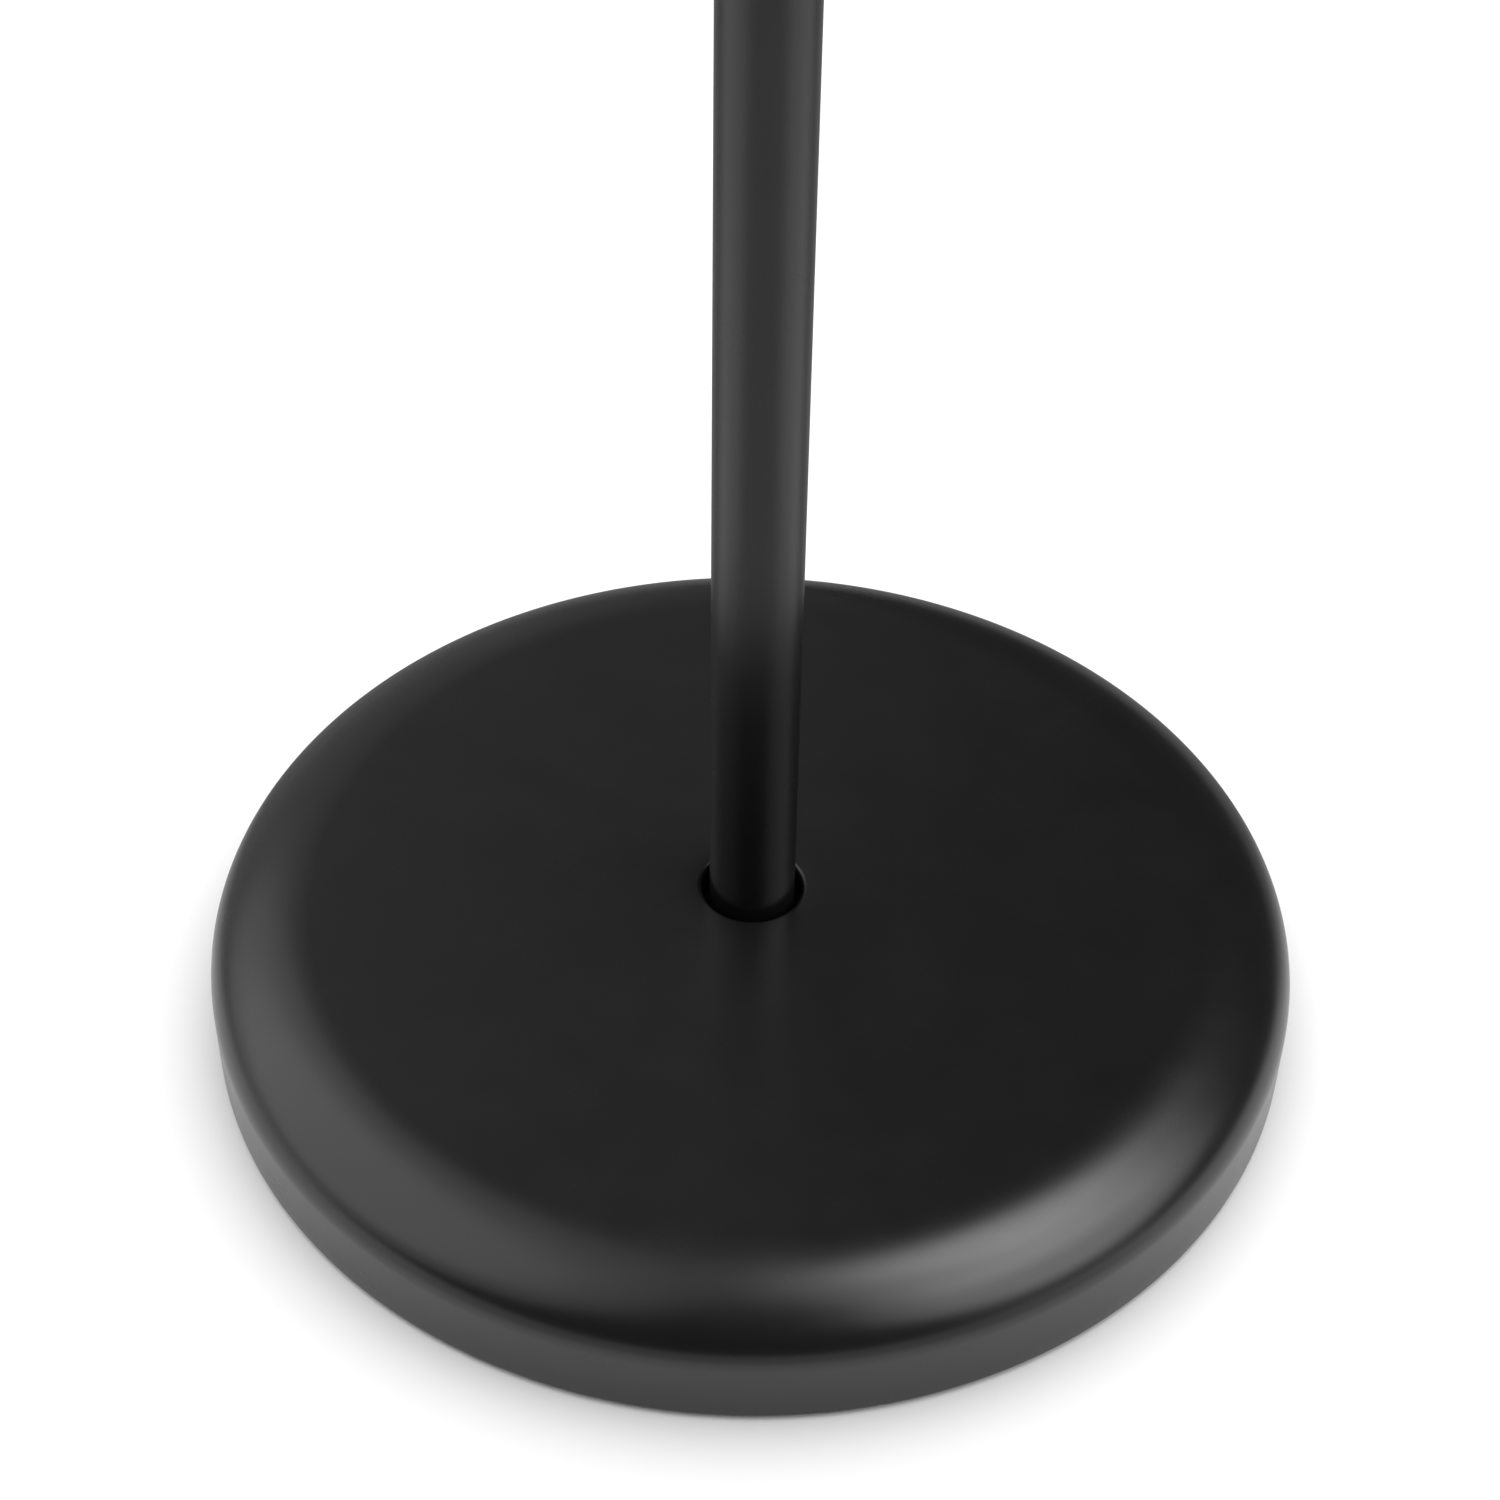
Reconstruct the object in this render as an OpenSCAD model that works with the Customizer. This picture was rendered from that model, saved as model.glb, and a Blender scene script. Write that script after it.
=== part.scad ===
// Standing coat rack: a weighted round base, a pole of three screwed sections and four double hooks.
// Millimetres. The origin is on the floor at the middle of the base, +Z is up.

/* [Base] */
// Outer diameter of the base cover
base_d = 356; // [320:2:400]
// Height of the cover's flat top above the floor
base_h = 44; // [40:0.5:50]
// Height above the floor where the straight wall turns into the shoulder
wall_h = 23.5; // [16:0.5:25]
// Width of the rolled shoulder, inwards from the wall
shoulder_w = 34; // [20:0.5:45]
// Sheet thickness of the cover and of the base plate
sheet = 1.5; // [1:0.1:1.8]
// Radial gap between the pole and the rim of the cover's hole
pole_gap = 2.2; // [2:0.1:6]
// Gap between the floor and the cover's hem
floor_gap = 1.2; // [0.6:0.1:2]
// Width of the non-slip ring
ring_w = 18; // [12:1:30]

/* [Pole] */
// Height of the whole rack
total_h = 1760; // [1700:10:1820]
// Outer diameter of the pole
pole_d = 28; // [26:0.5:30]
// Wall thickness of the pole's tubes
pole_wall = 1.2; // [1:0.1:1.5]
// Length of the lower and of the middle tube
section_len = 580; // [520:10:600]
// Length of the threaded insert in each tube end
insert_len = 22; // [18:1:30]

/* [Knob] */
// Diameter of the knob on top of the pole
knob_d = 36; // [34:1:44]
// Height of the knob
knob_h = 24; // [20:1:30]

/* [Hooks] */
// Distance from the top of the pole down to the root of the hat prong
hook_drop = 100; // [90:1:140]
// Thickness of the bent hook rods
rod_d = 9; // [8:0.5:10]
// Diameter of the ball on each prong
ball_d = 18; // [16:1:22]
// Bend radius of the hat prong
hat_bend_r = 125; // [100:1:130]
// Bend radius of the coat prong
coat_bend_r = 30; // [26:1:34]
// Distance between the roots of the hat prong and the coat prong
prong_spacing = 54; // [50:1:64]

/* [Hidden] */
SIDES = [["right", 0], ["back", 90], ["left", 180], ["front", 270]];
TIPS = ["hat", "coat"];
$fn = 96;

black_coat = [0.13, 0.13, 0.13];
black_plastic = [0.1, 0.1, 0.1];
rubber_grey = [0.17, 0.17, 0.17];
bare_steel = [0.55, 0.56, 0.58];
zinc = [0.72, 0.73, 0.75];
concrete = [0.6, 0.59, 0.56];

// Radial play: of a stud, a nut or a ball tip, and of an insert pressed into its tube
fit = 0.05;
insert_fit = 0.02;

// Base cover
base_r = base_d / 2;
shoulder_h = base_h - wall_h;
hem_bend_r = 2;
hem_w = 8.5;
hem_r = base_r - hem_w;
lip_r = 1.9;
lip_depth = 4;
pole_r = pole_d / 2;
hole_r = pole_r + pole_gap;

// Base plate: a pressed disc with a raised dish in the middle and a stiffening bead
plate_z = floor_gap + sheet;
plate_r = base_r - hem_bend_r - 0.1;
dish_rise = 12;
dish_flat_r = 21;
dish_r = 30;
bead_r = 105;
bead_w = 16;
bead_flat_w = 8;
bead_rise = 3;

// M10 bolt, washers and pole seat
m10_r = 5;
m10_pitch = 1.5;
m10_thread_depth = 0.9;
bolt_hole_r = 5.5;
bolt_head_flats = 17;
bolt_head_h = 6.4;
bolt_len = 40;
spring_washer_t = 2.2;
spring_washer_r = 9;
spring_washer_slit = 1.6;
flat_washer_t = 2.5;
flat_washer_r = 15;
dish_z = plate_z + dish_rise;
bolt_head_z = dish_z - flat_washer_t - spring_washer_t - bolt_head_h;

// Concrete weight: clear of the cover all round, with a recess for the pole seat
weight_gap = 1;
weight_floor = 10.8;
weight_z = plate_z + sheet;
weight_top = base_h - sheet - weight_gap;
recess_r = 41;
recess_z = dish_z + sheet + weight_floor;
dish_clear = 2;

seat_r = 40;
seat_t = 3;
seat_spigot_h = 6;
pole_foot_z = recess_z + seat_t;

// Tubes and their inserts
bore_r = pole_r - pole_wall;
insert_r = bore_r - insert_fit;
lower_joint_z = pole_foot_z + section_len;
upper_joint_z = lower_joint_z + section_len;
pole_top_z = total_h - knob_h;
foot_insert_z = pole_foot_z + 7;
stud_len = 36;
groove_depth = 0.8;
edge = 0.5;

m8_r = 4;
m8_pitch = 1.25;
m8_thread_depth = 0.75;
knob_stud_len = 30;
knob_thread_depth = 14;

// Hooks
rod_r = rod_d / 2;
ball_r = ball_d / 2;
hat_angle_in = 5;
hat_angle_out = 75;
coat_angle_in = -45;
coat_angle_out = 80;
tip_play = 0.3;
saddle_t = 3.5;
saddle_w = 16;
saddle_margin = 10;
hat_z = pole_top_z - hook_drop;
coat_z = hat_z - prong_spacing;
screw_heights = [hat_z - 15, coat_z - 20];
saddle_top = hat_z + saddle_margin;
saddle_bottom = screw_heights[1] - saddle_margin;
hat_root = [pole_r + 0.8, hat_z];
coat_root = [pole_r + 0.8, coat_z];

// M5 screws and rivet nuts
m5_r = 2.5;
screw_len = 10;
screw_head_r = 4.75;
screw_head_h = 3;
screw_socket_flats = 3;
screw_socket_depth = 1.8;
screw_hole_r = 2.8;
spotface_r = 5.2;
screw_seat_x = pole_r + saddle_t - 0.7;
nut_body_r = 3.5;
nut_flange_r = 4.5;
nut_flange_x = pole_r + 0.8;
nut_collar_r = 4.3;
nut_collar_x = sqrt(pow(bore_r, 2) - pow(nut_collar_r, 2)) - 0.05;
nut_collar_len = 3.5;
nut_len = 8.5;
nut_hole_r = nut_body_r + fit;

// Points along an arc of an ellipse, from angle a0 to angle a1
function arc(centre, rx, ry, a0, a1, steps) = [
    for (i = [0:steps])
        let (a = a0 + (a1 - a0) * i / steps)
        centre + [rx * cos(a), ry * sin(a)]
];

function reversed(points) = [for (i = [len(points) - 1:-1:0]) points[i]];

function raised(points, height) = [for (p = points) p + [0, height]];

function heading(angle) = [cos(angle), sin(angle)];

// The flat outline between a line and the same line moved inwards
module revolve_between(outer, inner) {
    rotate_extrude($fn = 180) polygon(concat(outer, reversed(inner)));
}

// A turned rod from z = 0 with annular thread grooves and a chamfered far end
module threaded_rod(r, length, pitch, depth) {
    turns = floor(length / pitch) - 1;
    flanks = [for (i = [0:turns - 1]) for (p = [[r - depth, i * pitch], [r, (i + 0.5) * pitch]]) p];
    rotate_extrude($fn = 48) polygon(concat(
        [[0, 0]],
        flanks,
        [[r - depth, turns * pitch], [r - 2 * depth, length], [0, length]]
    ));
}

// A turned plug for a tube's end, with a threaded bore and a crimp groove round its middle
module tube_insert(z, bore) {
    color(zinc) translate([0, 0, z]) rotate_extrude() polygon([
        [bore + edge, 0],
        [insert_r - edge, 0],
        [insert_r, edge],
        [insert_r, insert_len / 2 - 2 * groove_depth],
        [insert_r - groove_depth, insert_len / 2 - groove_depth],
        [insert_r - groove_depth, insert_len / 2 + groove_depth],
        [insert_r, insert_len / 2 + 2 * groove_depth],
        [insert_r, insert_len - edge],
        [insert_r - edge, insert_len],
        [bore + edge, insert_len],
        [bore, insert_len - edge],
        [bore, edge]
    ]);
}

// A round tube with its outer edges broken, so that each joint shows as a fine line
module pole_tube(z, length) {
    translate([0, 0, z]) rotate_extrude() polygon([
        [bore_r, 0],
        [pole_r - edge / 2, 0],
        [pole_r, edge / 2],
        [pole_r, length - edge / 2],
        [pole_r - edge / 2, length],
        [bore_r, length]
    ]);
}

// Cover's section, moved inwards by t: hem, wall, shoulder, flat top and the lip in the hole
function cover_line(t) = concat(
    [[hem_r, floor_gap + t]],
    arc([base_r - hem_bend_r, floor_gap + hem_bend_r], hem_bend_r - t, hem_bend_r - t, -90, 0, 4),
    arc([base_r - shoulder_w, wall_h], shoulder_w - t, shoulder_h - t, 0, 90, 24),
    arc([hole_r + lip_r, base_h - lip_r], lip_r - t, lip_r - t, 90, 180, 4),
    [[hole_r + t, base_h - lip_depth]]
);

module base_cover() {
    color(black_coat) revolve_between(cover_line(0), cover_line(sheet));
}

module non_slip_ring() {
    ring_outer = hem_r - 1.5;
    ring_inner = ring_outer - ring_w;
    groove_w = ring_w / 9;
    groove_line = [[0, 0], [0.3, 1], [groove_w - 0.3, 1], [groove_w, 0]];
    grooves = [for (i = [2:2:6]) for (p = groove_line) p + [ring_inner + i * groove_w, 0]];
    color(rubber_grey) rotate_extrude($fn = 180) polygon(concat(
        [[ring_inner, plate_z], [ring_inner, edge], [ring_inner + edge, 0]],
        grooves,
        [[ring_outer - edge, 0], [ring_outer, edge], [ring_outer, plate_z]]
    ));
}

module base_plate() {
    underside = [
        [bolt_hole_r, dish_z],
        [dish_flat_r, dish_z],
        [dish_r, plate_z],
        [bead_r - bead_w / 2, plate_z],
        [bead_r - bead_flat_w / 2, plate_z + bead_rise],
        [bead_r + bead_flat_w / 2, plate_z + bead_rise],
        [bead_r + bead_w / 2, plate_z],
        [plate_r, plate_z]
    ];
    color(bare_steel) revolve_between(underside, raised(underside, sheet));
}

module base_weight() {
    inset = sheet + weight_gap;
    channel_w = bead_w + dish_clear;
    channel_top = weight_z + bead_rise + 0.5;
    color(concrete) rotate_extrude($fn = 180) polygon(concat(
        [[bolt_hole_r, recess_z], [bolt_hole_r, dish_z + sheet]],
        [[dish_flat_r + dish_clear, dish_z + sheet], [dish_r + dish_clear, weight_z]],
        [[bead_r - channel_w / 2, weight_z], [bead_r - bead_w / 2, channel_top]],
        [[bead_r + bead_w / 2, channel_top], [bead_r + channel_w / 2, weight_z]],
        [[base_r - inset, weight_z]],
        arc([base_r - shoulder_w, wall_h], shoulder_w - inset, shoulder_h - inset, 0, 90, 12),
        [[recess_r, weight_top], [recess_r, recess_z]]
    ));
}

module pole_seat() {
    spigot_r = bore_r - 2 * fit;
    color(black_coat) translate([0, 0, recess_z]) rotate_extrude() polygon([
        [m10_r + 0.25, 0],
        [seat_r - edge, 0],
        [seat_r, edge],
        [seat_r, seat_t - edge],
        [seat_r - edge, seat_t],
        [spigot_r, seat_t],
        [spigot_r, seat_t + seat_spigot_h - 1],
        [spigot_r - 1, seat_t + seat_spigot_h],
        [m10_r + 0.25, seat_t + seat_spigot_h]
    ]);
}

module hex_prism(flats, height) {
    cylinder(h = height, r = flats / 2 / cos(30), $fn = 6);
}

module base_bolt() {
    color(zinc) translate([0, 0, bolt_head_z]) {
        intersection() {
            hex_prism(bolt_head_flats, bolt_head_h);
            cylinder(h = bolt_head_h, r1 = bolt_head_flats / 2 - 0.3, r2 = bolt_head_flats / 2 + 10);
        }
        translate([0, 0, bolt_head_h]) threaded_rod(m10_r, bolt_len, m10_pitch, m10_thread_depth);
    }
}

module spring_washer() {
    color(zinc) translate([0, 0, bolt_head_z + bolt_head_h]) difference() {
        cylinder(h = spring_washer_t, r = spring_washer_r);
        translate([0, 0, -1]) cylinder(h = spring_washer_t + 2, r = m10_r + 0.1);
        translate([0, -spring_washer_slit / 2, -1])
            cube([spring_washer_r + 1, spring_washer_slit, spring_washer_t + 2]);
    }
}

module flat_washer() {
    color(zinc) translate([0, 0, dish_z - flat_washer_t]) difference() {
        cylinder(h = flat_washer_t, r = flat_washer_r);
        translate([0, 0, -1]) cylinder(h = flat_washer_t + 2, r = m10_r + 0.25);
    }
}

module pole_lower() {
    color(black_coat) pole_tube(pole_foot_z, section_len);
}

module pole_middle() {
    color(black_coat) pole_tube(lower_joint_z, section_len);
}

module pole_upper() {
    color(black_coat) difference() {
        pole_tube(upper_joint_z, pole_top_z - upper_joint_z);
        at_each_screw() cylinder(h = pole_r + 1, r = nut_hole_r, $fn = 48);
    }
}

module foot_insert() {
    tube_insert(foot_insert_z, m10_r + fit);
}

module joint_stud(z) {
    color(zinc) translate([0, 0, z - stud_len / 2])
        threaded_rod(m10_r, stud_len, m10_pitch, m10_thread_depth);
}

module lower_joint_socket() {
    tube_insert(lower_joint_z - insert_len, m10_r + fit);
}

module lower_joint_stud() {
    joint_stud(lower_joint_z);
}

module lower_joint_plug() {
    tube_insert(lower_joint_z, m10_r + fit);
}

module upper_joint_socket() {
    tube_insert(upper_joint_z - insert_len, m10_r + fit);
}

module upper_joint_stud() {
    joint_stud(upper_joint_z);
}

module upper_joint_plug() {
    tube_insert(upper_joint_z, m10_r + fit);
}

module top_insert() {
    tube_insert(pole_top_z - insert_len, m8_r + fit);
}

module knob_stud() {
    color(zinc) translate([0, 0, pole_top_z + knob_thread_depth - 0.5 - knob_stud_len])
        threaded_rod(m8_r, knob_stud_len, m8_pitch, m8_thread_depth);
}

// A turned knob with the same rolled shoulder as the base
module top_knob() {
    knob_r = knob_d / 2;
    top_w = knob_r * 0.62;
    top_h = knob_h * 0.5;
    bottom_w = knob_r - pole_r;
    bottom_h = knob_h * 0.3;
    color(black_coat) translate([0, 0, pole_top_z]) rotate_extrude() polygon(concat(
        [[m8_r + fit, knob_thread_depth], [m8_r + fit, 0]],
        arc([pole_r, bottom_h], bottom_w, bottom_h, -90, 0, 8),
        arc([knob_r - top_w, knob_h - top_h], top_w, top_h, 0, 90, 16),
        [[0, knob_h], [0, knob_thread_depth + 2]]
    ));
}

// Puts its children on one side of the pole, in an upright plane with x outwards and y up
module hook_plane(angle) {
    rotate([0, 0, angle]) rotate([90, 0, 0]) children();
}

// Puts its children at the two screws of one hook, with their +Z axis pointing away from the pole
module at_screws(angle) {
    for (z = screw_heights) rotate([0, 0, angle]) translate([0, 0, z]) rotate([0, 90, 0]) children();
}

module at_each_screw() {
    for (side = SIDES) at_screws(side[1]) children();
}

// Where a rod ends that starts at root and bends upwards from angle_in to angle_out
function rod_end(root, bend_r, angle_in, angle_out) =
    root + bend_r * heading(angle_in + 90) - bend_r * heading(angle_out + 90);

module bent_rod(root, bend_r, angle_in, angle_out, r) {
    translate(root + bend_r * heading(angle_in + 90)) rotate([0, 0, angle_in - 90])
        rotate_extrude(angle = angle_out - angle_in, $fn = 180)
            translate([bend_r, 0]) circle(r = r, $fn = 48);
}

// Curved plate with round ends that lies against the pole
module saddle() {
    half_w = saddle_w / 2;
    outline = concat(
        arc([saddle_top - half_w, 0], half_w, half_w, -90, 90, 16),
        arc([saddle_bottom + half_w, 0], half_w, half_w, 90, 270, 16)
    );
    intersection() {
        translate([0, 0, saddle_bottom - 1])
            cylinder(h = saddle_top - saddle_bottom + 2, r = pole_r + saddle_t);
        rotate([0, -90, 0]) mirror([0, 0, 1]) linear_extrude(pole_r + saddle_t + 1) polygon(outline);
    }
}

// One double hook: saddle plate with the hat prong and the coat prong welded on
module hook(angle) {
    color(black_coat) difference() {
        union() {
            rotate([0, 0, angle]) saddle();
            hook_plane(angle) {
                bent_rod(hat_root, hat_bend_r, hat_angle_in, hat_angle_out, rod_r);
                bent_rod(coat_root, coat_bend_r, coat_angle_in, coat_angle_out, rod_r);
            }
        }
        translate([0, 0, saddle_bottom - 2]) cylinder(h = saddle_top - saddle_bottom + 4, r = pole_r);
        at_screws(angle) {
            cylinder(h = pole_r + saddle_t + 1, r = screw_hole_r, $fn = 48);
            cylinder(h = nut_flange_x + 0.1, r = nut_flange_r + 0.15, $fn = 48);
            translate([0, 0, screw_seat_x]) cylinder(h = 2, r = spotface_r, $fn = 48);
        }
    }
}

// Plastic ball pressed over a rod's end, with a blind curved bore that ends just past the ball's middle
module ball_tip(angle, root, bend_r, angle_in, angle_out) {
    bore_end = angle_out + tip_play / bend_r * 180 / PI;
    color(black_plastic) hook_plane(angle) difference() {
        translate(rod_end(root, bend_r, angle_in, angle_out)) sphere(r = ball_r);
        bent_rod(root, bend_r, angle_in, bore_end, rod_r + fit);
    }
}

module hat_tip(angle) {
    ball_tip(angle, hat_root, hat_bend_r, hat_angle_in, hat_angle_out);
}

module coat_tip(angle) {
    ball_tip(angle, coat_root, coat_bend_r, coat_angle_in, coat_angle_out);
}

// M5 button-head screws with a hexagon socket, two for each hook
module hook_screws() {
    color(zinc) at_each_screw() translate([0, 0, screw_seat_x]) difference() {
        union() {
            translate([0, 0, -screw_len]) cylinder(h = screw_len, r = m5_r, $fn = 48);
            rotate_extrude($fn = 48) polygon(concat(
                [[0, 0], [screw_head_r, 0]],
                arc([screw_head_r - 2, 0.6], 2, screw_head_h - 0.6, 0, 90, 6),
                [[0, screw_head_h]]
            ));
        }
        translate([0, 0, screw_head_h - screw_socket_depth]) hex_prism(screw_socket_flats, screw_head_h);
    }
}

// M5 rivet nuts in the upper tube's wall: flange outside, swaged collar inside
module rivet_nuts() {
    color(zinc) difference() {
        difference() {
            at_each_screw() cylinder(h = nut_flange_x, r = nut_flange_r, $fn = 48);
            translate([0, 0, saddle_bottom]) cylinder(h = saddle_top - saddle_bottom, r = pole_r);
        }
        at_each_screw() cylinder(h = pole_r + 2, r = m5_r + fit, $fn = 48);
    }
    color(zinc) difference() {
        at_each_screw() {
            translate([0, 0, nut_flange_x - nut_len]) cylinder(h = nut_len, r = nut_body_r, $fn = 48);
            translate([0, 0, nut_collar_x - nut_collar_len])
                cylinder(h = nut_collar_len, r = nut_collar_r, $fn = 48);
        }
        at_each_screw() cylinder(h = pole_r + 2, r = m5_r + fit, $fn = 48);
    }
}

base_cover();
non_slip_ring();
base_plate();
base_weight();
pole_seat();
base_bolt();
spring_washer();
flat_washer();
pole_lower();
pole_middle();
pole_upper();
foot_insert();
lower_joint_socket();
lower_joint_stud();
lower_joint_plug();
upper_joint_socket();
upper_joint_stud();
upper_joint_plug();
top_insert();
knob_stud();
top_knob();
for (side = SIDES) {
    hook(side[1]);
    hat_tip(side[1]);
    coat_tip(side[1]);
}
hook_screws();
rivet_nuts();
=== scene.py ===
"""Looks for the standing coat rack: smooth meshes, materials, studio light and camera.

Everything is in metres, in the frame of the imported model, with the floor at z = 0.
"""
import math

import bmesh
import bpy
from mathutils import Matrix, Vector


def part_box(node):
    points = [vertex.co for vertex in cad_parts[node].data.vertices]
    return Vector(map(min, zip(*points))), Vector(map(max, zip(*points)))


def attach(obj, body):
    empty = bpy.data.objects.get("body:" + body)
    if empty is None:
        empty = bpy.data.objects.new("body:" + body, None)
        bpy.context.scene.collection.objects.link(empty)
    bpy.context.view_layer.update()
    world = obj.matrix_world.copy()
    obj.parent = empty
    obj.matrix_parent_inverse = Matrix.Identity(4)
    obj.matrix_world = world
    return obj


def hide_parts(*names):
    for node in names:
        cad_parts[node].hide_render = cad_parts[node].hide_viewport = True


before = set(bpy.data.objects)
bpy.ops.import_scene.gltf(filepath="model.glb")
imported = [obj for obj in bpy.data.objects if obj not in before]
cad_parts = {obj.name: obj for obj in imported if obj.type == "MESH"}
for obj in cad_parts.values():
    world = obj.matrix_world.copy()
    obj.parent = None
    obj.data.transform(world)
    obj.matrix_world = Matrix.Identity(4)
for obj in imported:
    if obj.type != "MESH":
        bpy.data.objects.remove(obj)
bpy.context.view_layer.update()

MM = 0.001
SIDES = {"right": 0, "back": 90, "left": 180, "front": 270}

# ---------------------------------------------------------------- sizes, from the frame and the design

cover_low, cover_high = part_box("base_cover")
plate_low, plate_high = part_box("base_plate")
ring_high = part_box("non_slip_ring")[1]
knob_low, knob_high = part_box("top_knob")

BASE_R = cover_high.x
BASE_H = cover_high.z
FLOOR_GAP = cover_low.z
SHEET = 1.5 * MM
WALL_H = 23.5 * MM
SHOULDER_W = 34 * MM
HEM_W = 8.5 * MM
HEM_BEND_R = 2 * MM
LIP_R = 1.9 * MM
LIP_DEPTH = 4 * MM

POLE_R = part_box("pole_lower")[1].x
POLE_WALL = 1.2 * MM
POLE_GAP = 2.2 * MM
HOLE_R = POLE_R + POLE_GAP

DISH_RISE = 12 * MM
DISH_FLAT_R = 21 * MM
DISH_R = 30 * MM
BEAD_R = 105 * MM
BEAD_W = 16 * MM
BEAD_FLAT_W = 8 * MM
BEAD_RISE = 3 * MM
BOLT_HOLE_R = 5.5 * MM

RING_W = 18 * MM
RING_GROOVE = 1 * MM

ROD_R = 4.5 * MM
BALL_R = 9 * MM
SADDLE_T = 3.5 * MM
SADDLE_W = 16 * MM
SADDLE_EDGE = 0.8 * MM
ROOT_OFFSET = 0.8 * MM
ROOT_CUT = 0.2 * MM
HAT_BEND = (125 * MM, 5, 75)
COAT_BEND = (30 * MM, -45, 80)
SADDLE_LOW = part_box("hook_right")[0].z
SADDLE_MARGIN = 10 * MM
PRONG_SPACING = 54 * MM
SCREW_BELOW_COAT = 20 * MM
SCREW_BELOW_HAT = 15 * MM
COAT_Z = SADDLE_LOW + SADDLE_MARGIN + SCREW_BELOW_COAT
HAT_Z = COAT_Z + PRONG_SPACING
SADDLE_HIGH = HAT_Z + SADDLE_MARGIN
SCREW_HEIGHTS = (HAT_Z - SCREW_BELOW_HAT, COAT_Z - SCREW_BELOW_COAT)
SCREW_SEAT = POLE_R + SADDLE_T - 0.7 * MM
SPOTFACE_R = 5.2 * MM
SCREW_HEAD_R = 4.75 * MM
SCREW_HEAD_H = 3 * MM
SCREW_SOCKET = 1.5 * MM
SCREW_LEN = 10 * MM


# ---------------------------------------------------------------- outlines

def arc(centre, rx, rz, start, end, steps):
    """Points along an arc of an ellipse, from one angle to another in degrees."""
    turn = [math.radians(start + (end - start) * i / steps) for i in range(steps + 1)]
    return [(centre[0] + rx * math.cos(a), centre[1] + rz * math.sin(a)) for a in turn]


def rounded(points, radius, steps=4):
    """A closed outline with its corners rounded, less where its sides are short."""
    out = []
    for i, corner in enumerate(points):
        p = Vector(corner)
        before = Vector(points[i - 1]) - p
        after = Vector(points[(i + 1) % len(points)]) - p
        half = before.angle(after, math.pi) / 2
        cut = min(radius / math.tan(half), 0.45 * before.length, 0.45 * after.length)
        first = p + before.normalized() * cut
        last = p + after.normalized() * cut
        for s in (k / steps for k in range(steps + 1)):
            q = first * (1 - s) ** 2 + p * 2 * s * (1 - s) + last * s ** 2
            out.append((q.x, q.y))
    return out


def along(start, end, steps):
    """Points strictly between two points, which keep long faces short."""
    a, b = Vector(start), Vector(end)
    return [tuple(a.lerp(b, i / steps)) for i in range(1, steps)]


# ---------------------------------------------------------------- meshes

def ring_of(bm, radius, z, segments, flats=0):
    """A ring of vertices round the Z axis, or one vertex on it; flats makes it a regular polygon."""
    if radius < 1e-6:
        return [bm.verts.new((0, 0, z))]
    verts = []
    for k in range(segments):
        a = 2 * math.pi * k / segments
        r = radius
        if flats:
            sector = 2 * math.pi / flats
            r = radius / math.cos(a % sector - sector / 2)
        verts.append(bm.verts.new((r * math.cos(a), r * math.sin(a), z)))
    return verts


def bridge(bm, low, high):
    """Faces between two rings; a ring of one vertex makes a fan."""
    count = max(len(low), len(high))
    for k in range(count):
        n = (k + 1) % count
        corners = [low[k % len(low)], low[n % len(low)], high[n % len(high)], high[k % len(high)]]
        unique = list(dict.fromkeys(corners))
        if len(unique) > 2:
            bm.faces.new(unique)


def add_lathe(bm, profile, segments, closed=True, matrix=None):
    """Turns an outline of (radius, z) or (radius, z, flats) points into faces."""
    rings = [ring_of(bm, p[0], p[1], segments, *p[2:]) for p in profile]
    pairs = list(zip(rings, rings[1:]))
    if closed:
        pairs.append((rings[-1], rings[0]))
    for low, high in pairs:
        bridge(bm, low, high)
    if matrix:
        bmesh.ops.transform(bm, matrix=matrix, verts=[v for ring in rings for v in ring])


def to_object(name, bm, sharp=35):
    """Makes an object of a bmesh, smooth except across edges sharper than an angle in degrees."""
    bmesh.ops.recalc_face_normals(bm, faces=bm.faces)
    mesh = bpy.data.meshes.new(name)
    bm.to_mesh(mesh)
    bm.free()
    smooth(mesh, sharp)
    obj = bpy.data.objects.new(name, mesh)
    bpy.context.scene.collection.objects.link(obj)
    return obj


def smooth(mesh, sharp):
    """Smooth shading, except across edges sharper than an angle in degrees."""
    mesh.polygons.foreach_set("use_smooth", [True] * len(mesh.polygons))
    mesh.set_sharp_from_angle(angle=math.radians(sharp))


def lathe(name, profile, segments=128, closed=True, sharp=35):
    bm = bmesh.new()
    add_lathe(bm, profile, segments, closed)
    return to_object(name, bm, sharp)


def boolean(obj, other, operation):
    """Combines obj with other, then deletes other."""
    modifier = obj.modifiers.new(operation.lower(), "BOOLEAN")
    modifier.operation = operation
    modifier.solver = "EXACT"
    modifier.object = other
    evaluated = obj.evaluated_get(bpy.context.evaluated_depsgraph_get())
    mesh = bpy.data.meshes.new_from_object(evaluated)
    obj.modifiers.clear()
    obj.data = mesh
    bpy.data.objects.remove(other)


def drop_slivers(mesh, size):
    """Takes out the edges and faces, too small to see, that the booleans leave behind."""
    bm = bmesh.new()
    bm.from_mesh(mesh)
    bmesh.ops.remove_doubles(bm, verts=bm.verts, dist=size)
    bmesh.ops.dissolve_degenerate(bm, edges=bm.edges, dist=size)
    bm.to_mesh(mesh)
    bm.free()


# ---------------------------------------------------------------- materials

def new_material(name):
    material = bpy.data.materials.new(name)
    material.use_nodes = True
    tree = material.node_tree
    return material, tree, tree.nodes["Principled BSDF"]


def position(tree):
    """Object coordinates: on every piece they are metres in the rack's own frame."""
    return tree.nodes.new("ShaderNodeTexCoord").outputs["Object"]


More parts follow.
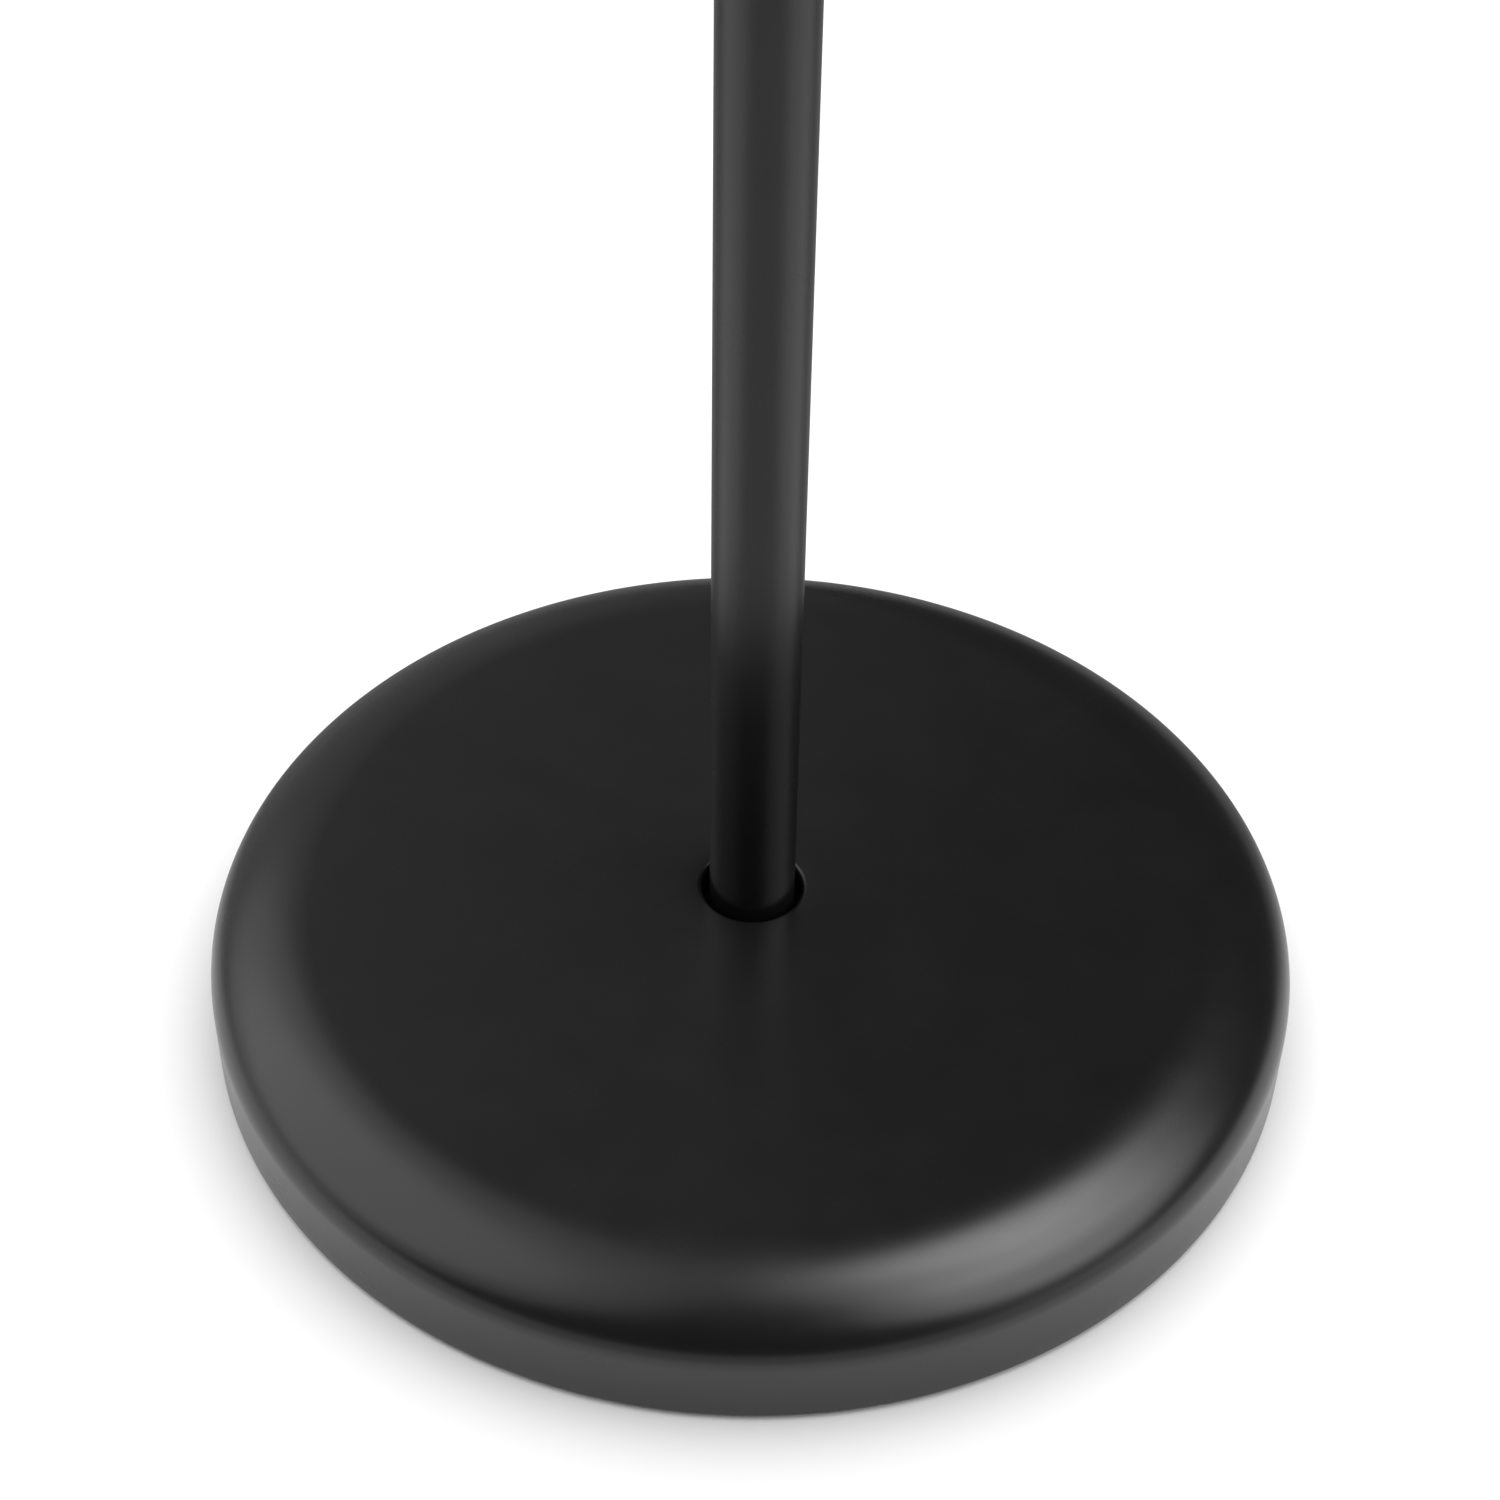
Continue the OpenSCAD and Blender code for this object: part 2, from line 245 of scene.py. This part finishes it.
def noise(tree, scale, detail=2.0, stretch=(1, 1, 1)):
    """A noise value between 0 and 1, with its scale in features per metre."""
    mapping = tree.nodes.new("ShaderNodeMapping")
    mapping.inputs["Scale"].default_value = stretch
    tree.links.new(position(tree), mapping.inputs["Vector"])
    node = tree.nodes.new("ShaderNodeTexNoise")
    node.inputs["Scale"].default_value = scale
    node.inputs["Detail"].default_value = detail
    tree.links.new(mapping.outputs["Vector"], node.inputs["Vector"])
    return node.outputs["Fac"]


def mapped(tree, value, low, high, from_low=0.3, from_high=0.7):
    """The value spread between two numbers."""
    node = tree.nodes.new("ShaderNodeMapRange")
    node.inputs["From Min"].default_value = from_low
    node.inputs["From Max"].default_value = from_high
    node.inputs["To Min"].default_value = low
    node.inputs["To Max"].default_value = high
    tree.links.new(value, node.inputs["Value"])
    return node.outputs["Result"]


def blend_colours(tree, value, low, high):
    node = tree.nodes.new("ShaderNodeMix")
    node.data_type = "RGBA"
    node.inputs["A"].default_value = (*low, 1)
    node.inputs["B"].default_value = (*high, 1)
    tree.links.new(mapped(tree, value, 0, 1), node.inputs["Factor"])
    return node.outputs["Result"]


def bump(tree, shader, height, depth, strength=1.0):
    """Small relief of the given depth in metres."""
    node = tree.nodes.new("ShaderNodeBump")
    node.inputs["Strength"].default_value = strength
    node.inputs["Distance"].default_value = depth
    tree.links.new(height, node.inputs["Height"])
    tree.links.new(node.outputs["Normal"], shader.inputs["Normal"])


def powder_coat():
    """Satin black powder coat: fine orange peel, and a little cloudiness in its gloss."""
    material, tree, shader = new_material("powder_coat")
    colour = blend_colours(tree, noise(tree, 35), (0.0044, 0.0044, 0.0045), (0.0057, 0.0057, 0.0058))
    tree.links.new(colour, shader.inputs["Base Color"])
    tree.links.new(mapped(tree, noise(tree, 60, 3), 0.25, 0.275), shader.inputs["Roughness"])
    bump(tree, shader, noise(tree, 1400, 2), 0.01 * MM, 0.35)
    return material


def ball_plastic():
    """Moulded black plastic with a fine spark-eroded grain."""
    material, tree, shader = new_material("ball_plastic")
    colour = blend_colours(tree, noise(tree, 80), (0.012, 0.012, 0.0125), (0.017, 0.017, 0.0175))
    tree.links.new(colour, shader.inputs["Base Color"])
    tree.links.new(mapped(tree, noise(tree, 300, 3), 0.42, 0.52), shader.inputs["Roughness"])
    bump(tree, shader, noise(tree, 3000, 1), 0.02 * MM, 0.5)
    return material


def rubber():
    """Dull black rubber with a dusty, slightly pitted skin."""
    material, tree, shader = new_material("rubber")
    colour = blend_colours(tree, noise(tree, 120, 4), (0.018, 0.018, 0.018), (0.04, 0.039, 0.037))
    tree.links.new(colour, shader.inputs["Base Color"])
    tree.links.new(mapped(tree, noise(tree, 400, 3), 0.7, 0.9), shader.inputs["Roughness"])
    bump(tree, shader, noise(tree, 2200, 3), 0.05 * MM, 0.6)
    return material


def zinc_steel():
    """Bright zinc plating: slightly bluish, with patchy gloss and fine turning marks."""
    material, tree, shader = new_material("zinc_steel")
    colour = blend_colours(tree, noise(tree, 90, 3), (0.55, 0.56, 0.59), (0.68, 0.69, 0.7))
    tree.links.new(colour, shader.inputs["Base Color"])
    shader.inputs["Metallic"].default_value = 1
    tree.links.new(mapped(tree, noise(tree, 500, 3), 0.24, 0.4), shader.inputs["Roughness"])
    bump(tree, shader, noise(tree, 900, 2, (1, 1, 6)), 0.01 * MM, 0.5)
    return material


def plate_steel():
    """Cold-rolled sheet: grey, lightly oiled, with faint rolling lines along X."""
    material, tree, shader = new_material("plate_steel")
    colour = blend_colours(tree, noise(tree, 45, 5, (1, 4, 1)), (0.3, 0.3, 0.31), (0.42, 0.42, 0.43))
    tree.links.new(colour, shader.inputs["Base Color"])
    shader.inputs["Metallic"].default_value = 1
    tree.links.new(mapped(tree, noise(tree, 130, 4, (1, 8, 1)), 0.34, 0.52), shader.inputs["Roughness"])
    bump(tree, shader, noise(tree, 600, 2, (0.1, 4, 1)), 0.01 * MM, 0.5)
    return material


def concrete():
    """Cast concrete: mottled grey, sandy, with small air holes."""
    material, tree, shader = new_material("concrete")
    colour = blend_colours(tree, noise(tree, 60, 8), (0.28, 0.27, 0.25), (0.5, 0.49, 0.46))
    tree.links.new(colour, shader.inputs["Base Color"])
    shader.inputs["Roughness"].default_value = 0.9
    bump(tree, shader, noise(tree, 700, 6), 0.3 * MM, 0.8)
    return material


def studio_card(name, albedo):
    """A dead-matt pale or grey studio surface."""
    material, _, shader = new_material(name)
    shader.inputs["Base Color"].default_value = (albedo, albedo, albedo, 1)
    shader.inputs["Roughness"].default_value = 1
    shader.inputs["Specular IOR Level"].default_value = 0
    return material


MATERIALS = {
    "powder_coat": powder_coat(),
    "ball_plastic": ball_plastic(),
    "rubber": rubber(),
    "zinc_steel": zinc_steel(),
    "plate_steel": plate_steel(),
    "concrete": concrete(),
}


def finish_piece(obj, node, slot):
    """Gives a new piece its material, hangs it on the root body and hides the CAD node it stands for."""
    obj.data.materials.clear()
    obj.data.materials.append(MATERIALS[slot])
    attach(obj, "root")
    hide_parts(node)


# ---------------------------------------------------------------- base

def cover_line(inset, steps):
    """The cover's section from its hem to the lip in the hole, moved inwards."""
    shoulder_h = BASE_H - WALL_H
    hem = [(BASE_R - HEM_W, FLOOR_GAP + inset)]
    bend_centre = (BASE_R - HEM_BEND_R, FLOOR_GAP + HEM_BEND_R)
    bend = arc(bend_centre, HEM_BEND_R - inset, HEM_BEND_R - inset, -90, 0, 8)
    shoulder_centre = (BASE_R - SHOULDER_W, WALL_H)
    shoulder = arc(shoulder_centre, SHOULDER_W - inset, shoulder_h - inset, 0, 90, steps)
    lip = arc((HOLE_R + LIP_R, BASE_H - LIP_R), LIP_R - inset, LIP_R - inset, 90, 180, 10)
    end = [(HOLE_R + inset, BASE_H - LIP_DEPTH)]
    wall = along(bend[-1], shoulder[0], 4)
    top = along(shoulder[-1], lip[0], 20)
    return hem + bend + wall + shoulder + top + lip + end


def make_cover():
    """The pressed shell: its outer line, then its inner line back."""
    profile = cover_line(0, 72) + cover_line(SHEET, 36)[::-1]
    finish_piece(lathe("cover_shell", profile, 360), "base_cover", "powder_coat")


def make_ring():
    outer = ring_high.x
    inner = outer - RING_W
    top = ring_high.z
    step = RING_W / 9
    profile = [(inner, top), (inner, 0)]
    for i in (2, 4, 6):
        left = inner + i * step
        profile += [(left, 0), (left + 0.3 * MM, RING_GROOVE),
                    (left + step - 0.3 * MM, RING_GROOVE), (left + step, 0)]
    profile += [(outer, 0), (outer, top)]
    finish_piece(lathe("rubber_ring", rounded(profile, 0.4 * MM), 256), "non_slip_ring", "rubber")


def make_plate():
    z = plate_low.z
    dish = z + DISH_RISE
    underside = [
        (BOLT_HOLE_R, dish), (DISH_FLAT_R, dish), (DISH_R, z),
        (BEAD_R - BEAD_W / 2, z), (BEAD_R - BEAD_FLAT_W / 2, z + BEAD_RISE),
        (BEAD_R + BEAD_FLAT_W / 2, z + BEAD_RISE), (BEAD_R + BEAD_W / 2, z), (plate_high.x, z)]
    top = [(r, height + SHEET) for r, height in reversed(underside)]
    outline = rounded(underside + top, 1.6 * MM, 5)
    finish_piece(lathe("pressed_plate", outline, 256), "base_plate", "plate_steel")


# ---------------------------------------------------------------- pole

def make_tube(node):
    """A tube with eased ends; points close to them keep the shading of its long faces straight."""
    low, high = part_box(node)
    bore = POLE_R - POLE_WALL
    corner, flat_from = 0.3 * MM, 0.8 * MM
    section = rounded([(bore, low.z), (POLE_R, low.z), (POLE_R, high.z), (bore, high.z)], corner)
    corner_points = len(section) // 4
    near_ends = [(POLE_R, low.z + flat_from), (POLE_R, high.z - flat_from),
                 (bore, high.z - flat_from), (bore, low.z + flat_from)]
    profile = section[:2 * corner_points] + near_ends[:2] + section[2 * corner_points:] + near_ends[2:]
    finish_piece(lathe(node + "_tube", profile, 128), node, "powder_coat")


def make_knob():
    low, high = knob_low.z, knob_high.z
    r = knob_high.x
    height = high - low
    top_w, top_h = r * 0.62, height * 0.5
    bottom_w, bottom_h = r - POLE_R, height * 0.3
    bore_r = 4.05 * MM
    bore_end = low + 14 * MM
    profile = [(0, bore_end + 2 * MM), (bore_r, bore_end), (bore_r, low)]
    profile += arc((POLE_R, low + bottom_h), bottom_w, bottom_h, -90, 0, 24)
    profile += arc((r - top_w, high - top_h), top_w, top_h, 0, 90, 40)
    profile += [(0, high)]
    finish_piece(lathe("turned_knob", profile, 128, closed=False), "top_knob", "powder_coat")


# ---------------------------------------------------------------- hooks

def rod_path(root, bend, steps):
    """Points and directions along the bend of a rod, in an (x, z) plane, from its root to its end."""
    radius, angle_in, angle_out = bend
    start = math.radians(angle_in)
    cx, cz = root[0] - radius * math.sin(start), root[1] + radius * math.cos(start)
    path = []
    for i in range(steps + 1):
        a = math.radians(angle_in + (angle_out - angle_in) * i / steps)
        path.append((cx + radius * math.sin(a), cz - radius * math.cos(a), a))
    return path


def cut_behind(bm, x):
    """Takes away what lies behind a plane across X and closes the cut."""
    everything = bm.verts[:] + bm.edges[:] + bm.faces[:]
    plane = {"plane_co": (x, 0, 0), "plane_no": (1, 0, 0)}
    cut = bmesh.ops.bisect_plane(bm, geom=everything, clear_inner=True, **plane)
    rim = [e for e in cut["geom_cut"] if isinstance(e, bmesh.types.BMEdge)]
    bmesh.ops.contextual_create(bm, geom=rim)


def rod(name, root, bend, steps=72, sides=40):
    """A bent rod that starts inside the saddle, with a weld fillet round its root."""
    run_in, weld_len, weld_h, ripple_h = 9 * MM, 6 * MM, 1.7 * MM, 0.08 * MM
    arc_len = bend[0] * math.radians(bend[2] - bend[1])
    path = rod_path(root, bend, steps)
    x, z, a = path[0]
    path.insert(0, (x - run_in * math.cos(a), z - run_in * math.sin(a), a))
    bm = bmesh.new()
    rings = []
    for i, (x, z, a) in enumerate(path):
        near = min(1.0, max(0.0, 1 - (arc_len * (i - 1) / steps) / weld_len))
        ring = []
        for k in range(sides):
            t = 2 * math.pi * k / sides
            r = ROD_R + near ** 2 * weld_h + math.sin(13 * t) * near * ripple_h
            up = r * math.cos(t)
            ring.append(bm.verts.new((x - up * math.sin(a), r * math.sin(t), z + up * math.cos(a))))
        rings.append(ring)
    for low, high in zip(rings, rings[1:]):
        bridge(bm, low, high)
    bm.faces.new(rings[0])
    bm.faces.new(rings[-1])
    cut_behind(bm, POLE_R + ROOT_CUT)
    return to_object(name, bm)


def saddle(name):
    """The curved plate with round ends that carries the rods, with its outer edge rounded."""
    half_w = SADDLE_W / 2
    ends = ((SADDLE_HIGH - half_w, -90), (SADDLE_LOW + half_w, 90))
    outer_r = POLE_R + SADDLE_T
    levels = [(POLE_R, 0)]
    levels += [(outer_r - SADDLE_EDGE * (1 - math.sin(t)), SADDLE_EDGE * (1 - math.cos(t)))
               for t in (math.pi / 2 * i / 5 for i in range(6))]
    levels += [(outer_r, half_w * f) for f in (0.3, 0.5, 0.7, 0.85)]
    bm = bmesh.new()
    rings = []
    for radius, inset in levels:
        ring = []
        for z_end, first_angle in ends:
            for i in range(33):
                t = math.radians(first_angle + 180 * i / 32)
                y = (half_w - inset) * math.sin(t)
                z = z_end + (half_w - inset) * math.cos(t)
                ring.append(bm.verts.new((math.sqrt(radius ** 2 - y ** 2), y, z)))
        rings.append(ring)
    for low, high in zip(rings, rings[1:]):
        bridge(bm, low, high)
    bm.faces.new(rings[-1])
    inner = [[bm.verts.new((math.sqrt(POLE_R ** 2 - (v.co.y * f) ** 2), v.co.y * f, v.co.z))
              for v in rings[0]] for f in (0.6, 0.25)]
    bridge(bm, rings[0], inner[0])
    bridge(bm, inner[0], inner[1])
    bm.faces.new(inner[1])
    return to_object(name, bm, 40)


def at_screw(z, x=0.0):
    """Places +Z geometry at a screw's height, pointing out along +X."""
    return Matrix.Translation((x, 0, z)) @ Matrix.Rotation(math.pi / 2, 4, "Y")


def make_hook(side):
    name = "hook_" + side
    hook = saddle("double_hook_" + side)
    root_x = POLE_R + ROOT_OFFSET
    boolean(hook, rod("hat_rod", (root_x, HAT_Z), HAT_BEND), "UNION")
    boolean(hook, rod("coat_rod", (root_x, COAT_Z), COAT_BEND, 48), "UNION")
    for z in SCREW_HEIGHTS:
        bm = bmesh.new()
        add_lathe(bm, [(0, 0), (SPOTFACE_R, 0), (SPOTFACE_R, 2 * MM), (0, 2 * MM)], 64, False,
                  at_screw(z, SCREW_SEAT))
        boolean(hook, to_object("spotface", bm), "DIFFERENCE")
    drop_slivers(hook.data, 0.01 * MM)
    hook.data.transform(Matrix.Rotation(math.radians(SIDES[side]), 4, "Z"))
    smooth(hook.data, 32)
    finish_piece(hook, name, "powder_coat")


def make_tip(kind, side, bend, root_z):
    """A moulded ball with a fine parting line and a small rounded mouth round the rod."""
    mouth = math.degrees(math.asin((ROD_R + 0.05 * MM) / BALL_R))
    depth = 0.12 * MM
    profile = [(ROD_R + 0.05 * MM, 0), (ROD_R + 0.05 * MM, -BALL_R * 0.84)]
    profile += arc((0, 0), BALL_R, BALL_R, -90 + mouth + 2, -2, 28)
    profile += [(BALL_R - depth, 0)]
    profile += arc((0, 0), BALL_R, BALL_R, 2, 90, 32)[:-1]
    profile += [(0, BALL_R), (0, 0)]
    x, z, angle = rod_path((POLE_R + ROOT_OFFSET, root_z), bend, 1)[-1]
    turn = Matrix.Rotation(math.radians(SIDES[side]), 4, "Z")
    place = turn @ Matrix.Translation((x, 0, z)) @ Matrix.Rotation(math.pi / 2 - angle, 4, "Y")
    bm = bmesh.new()
    add_lathe(bm, profile, 72, True, place)
    finish_piece(to_object(f"{kind}_ball_{side}", bm, 30), f"{kind}_tip_{side}", "ball_plastic")


def make_screws():
    """Button-head screws with a hexagon socket, two for each hook."""
    head = [(0, -SCREW_LEN), (2.1 * MM, -SCREW_LEN), (2.5 * MM, -SCREW_LEN + 0.6 * MM), (2.5 * MM, 0)]
    head += [(SCREW_HEAD_R - 0.15 * MM, 0), (SCREW_HEAD_R, 0.15 * MM)]
    head += arc((SCREW_HEAD_R - 2.1 * MM, 0.6 * MM), 2.1 * MM, SCREW_HEAD_H - 0.6 * MM, 0, 90, 12)
    head += [(SCREW_SOCKET + 0.25 * MM, SCREW_HEAD_H), (SCREW_SOCKET, SCREW_HEAD_H - 0.2 * MM, 6)]
    head += [(SCREW_SOCKET, SCREW_HEAD_H - 1.8 * MM, 6), (0, SCREW_HEAD_H - 2.1 * MM)]
    bm = bmesh.new()
    for angle in SIDES.values():
        for z in SCREW_HEIGHTS:
            turn = Matrix.Rotation(math.radians(angle), 4, "Z")
            add_lathe(bm, head, 48, False, turn @ at_screw(z, SCREW_SEAT))
    finish_piece(to_object("button_head_screws", bm, 30), "hook_screws", "zinc_steel")


# ---------------------------------------------------------------- CAD nodes that stay

KEPT = {
    "concrete": ["base_weight"],
    "powder_coat": ["pole_seat"],
    "zinc_steel": [
        "base_bolt", "spring_washer", "flat_washer", "foot_insert", "top_insert", "knob_stud", "rivet_nuts",
        "lower_joint_socket", "lower_joint_stud", "lower_joint_plug",
        "upper_joint_socket", "upper_joint_stud", "upper_joint_plug"],
}


def dress_kept_nodes():
    """Gives the CAD nodes that stay visible their materials and smooth shading."""
    for slot, names in KEPT.items():
        for name in names:
            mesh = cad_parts[name].data
            mesh.materials.clear()
            mesh.materials.append(MATERIALS[slot])
            smooth(mesh, 30)


# ---------------------------------------------------------------- studio

FLOOR_SIZE = 12.0
FLOOR_DROP = 0.1 * MM
FLOOR_ALBEDO = 0.8
FLAG_TO = 3.0
FLAG_FADE = 14
FLAG_STEPS = 24
FLAG_LIFT = 1 * MM
SUN_DISTANCE = 3.0
SURROUND_LIGHT = 0.055

CAMERA_LENS = 67.97
CAMERA_PITCH = 42.19
CAMERA_ROLL = 1.0
CAMERA_DISTANCE = 5.002 * BASE_R
CAMERA_AIM = Vector((-0.0082 * BASE_R, 0, 0.582 * BASE_R))


def make_floor():
    """A pale floor a hair below the rack, so that it never meets the ring's underside."""
    bm = bmesh.new()
    bmesh.ops.create_grid(bm, x_segments=1, y_segments=1, size=FLOOR_SIZE / 2)
    floor = to_object("studio_floor", bm)
    floor.location.z = -FLOOR_DROP
    floor.data.materials.append(studio_card("floor_white", FLOOR_ALBEDO))
    return floor


def fade_sides(material, azimuth, spread):
    """Lets a card that fans out from the rack fade away round its two sides."""
    tree = material.node_tree
    outwards = tree.nodes.new("ShaderNodeVectorMath")
    outwards.operation = "NORMALIZE"
    tree.links.new(position(tree), outwards.inputs[0])
    turn = math.radians(azimuth)
    cosine = tree.nodes.new("ShaderNodeVectorMath")
    cosine.operation = "DOT_PRODUCT"
    cosine.inputs[1].default_value = (math.sin(turn), math.cos(turn), 0)
    tree.links.new(outwards.outputs["Vector"], cosine.inputs[0])
    gone = math.cos(math.radians(spread + FLAG_FADE))
    full = math.cos(math.radians(spread - FLAG_FADE))
    cover = mapped(tree, cosine.outputs["Value"], 0, 1, gone, full)
    tree.links.new(cover, tree.nodes["Principled BSDF"].inputs["Alpha"])


def make_flag(name, azimuth, spread, start, albedo):
    """A grey card lying on the floor, seen only as a darker zone in the gloss of the pole and rims."""
    bm = bmesh.new()
    rings = []
    for radius in (start, FLAG_TO):
        shares = [2 * i / FLAG_STEPS - 1 for i in range(FLAG_STEPS + 1)]
        turn = [math.radians(azimuth + (spread + FLAG_FADE) * share) for share in shares]
        rings.append([bm.verts.new((radius * math.sin(a), radius * math.cos(a), 0)) for a in turn])
    near, far = rings
    for k in range(FLAG_STEPS):
        bm.faces.new((near[k], far[k], far[k + 1], near[k + 1]))
    flag = to_object(name, bm)
    flag.location.z = FLAG_LIFT
    card = studio_card(name + "_grey", albedo)
    fade_sides(card, azimuth, spread)
    flag.data.materials.append(card)
    flag.visible_camera = False
    flag.visible_diffuse = False
    flag.visible_shadow = False


def make_camera():
    """Looks down on the base from the front, a little rolled, as a person standing before it would."""
    pitch, roll = math.radians(CAMERA_PITCH), math.radians(CAMERA_ROLL)
    forward = Vector((0, math.cos(pitch), -math.sin(pitch)))
    up = Vector((0, math.sin(pitch), math.cos(pitch)))
    right = Vector((1, 0, 0))
    rolled_right = right * math.cos(roll) + up * math.sin(roll)
    rolled_up = up * math.cos(roll) - right * math.sin(roll)
    data = bpy.data.cameras.new("camera")
    data.lens = CAMERA_LENS
    camera = bpy.data.objects.new("camera", data)
    bpy.context.scene.collection.objects.link(camera)
    axes = Matrix((rolled_right, rolled_up, -forward)).transposed()
    camera.matrix_world = Matrix.Translation(CAMERA_AIM - forward * CAMERA_DISTANCE) @ axes.to_4x4()
    bpy.context.scene.camera = camera


def light_link(name, floor, state):
    """What a light falls on: only the floor, or all but the floor."""
    link = bpy.data.collections.new(name)
    link.objects.link(floor)
    link.collection_objects[0].light_linking.link_state = state
    return link


def soft_light(name, azimuth, elevation, radius, radiance, falls_on):
    """A round, distant light with a soft edge; azimuth 0 is behind the rack and 90 is on its right."""
    a, e = math.radians(azimuth), math.radians(elevation)
    towards = Vector((math.sin(a) * math.cos(e), math.cos(a) * math.cos(e), math.sin(e)))
    for part, share in (("core", 0.84), ("edge", 1.16)):
        r = math.radians(radius * share)
        data = bpy.data.lights.new(f"{name}_{part}", "SUN")
        data.angle = 2 * r
        data.energy = radiance / 2 * math.pi * math.sin(r) ** 2
        light = bpy.data.objects.new(data.name, data)
        bpy.context.scene.collection.objects.link(light)
        light.location = towards * SUN_DISTANCE
        light.rotation_mode = "QUATERNION"
        light.rotation_quaternion = towards.to_track_quat("Z", "Y")
        light.light_linking.receiver_collection = falls_on


def make_surround():
    """A white studio behind the rack that sends only a little light onto it."""
    world = bpy.data.worlds.new("studio")
    bpy.context.scene.world = world
    world.use_nodes = True
    tree = world.node_tree
    background = tree.nodes["Background"]
    background.inputs["Color"].default_value = (1, 1, 1, 1)
    seen = tree.nodes.new("ShaderNodeLightPath").outputs["Is Camera Ray"]
    tree.links.new(mapped(tree, seen, SURROUND_LIGHT, 1, 0, 1), background.inputs["Strength"])


def make_lights(floor):
    rack = light_link("all_but_floor", floor, "EXCLUDE")
    floor_only = light_link("floor_only", floor, "INCLUDE")
    soft_light("right_light", 113, 41.5, 25, 3.3, rack)
    soft_light("right_top_light", 92, 64, 20, 2.5, rack)
    soft_light("top_light", 66, 68, 12, 4.2, rack)
    soft_light("left_light", -88, 43, 37, 1.66, rack)
    soft_light("right_low_light", 122, 12, 18, 0.5, rack)
    soft_light("back_fill_light", -38, 24, 34, 0.36, rack)
    soft_light("floor_light", 30, 78, 58, 2.1, floor_only)


make_camera()
make_cover()
make_ring()
make_plate()
for tube in ("pole_lower", "pole_middle", "pole_upper"):
    make_tube(tube)
make_knob()
for side in SIDES:
    make_hook(side)
    make_tip("hat", side, HAT_BEND, HAT_Z)
    make_tip("coat", side, COAT_BEND, COAT_Z)
make_screws()
dress_kept_nodes()
floor = make_floor()
make_flag("front_flag", 180, 42, 0.24, 0.52)
make_flag("back_flag", 0, 74, 0.185, 0.25)
make_surround()
make_lights(floor)
bpy.context.scene.view_settings.view_transform = "Standard"
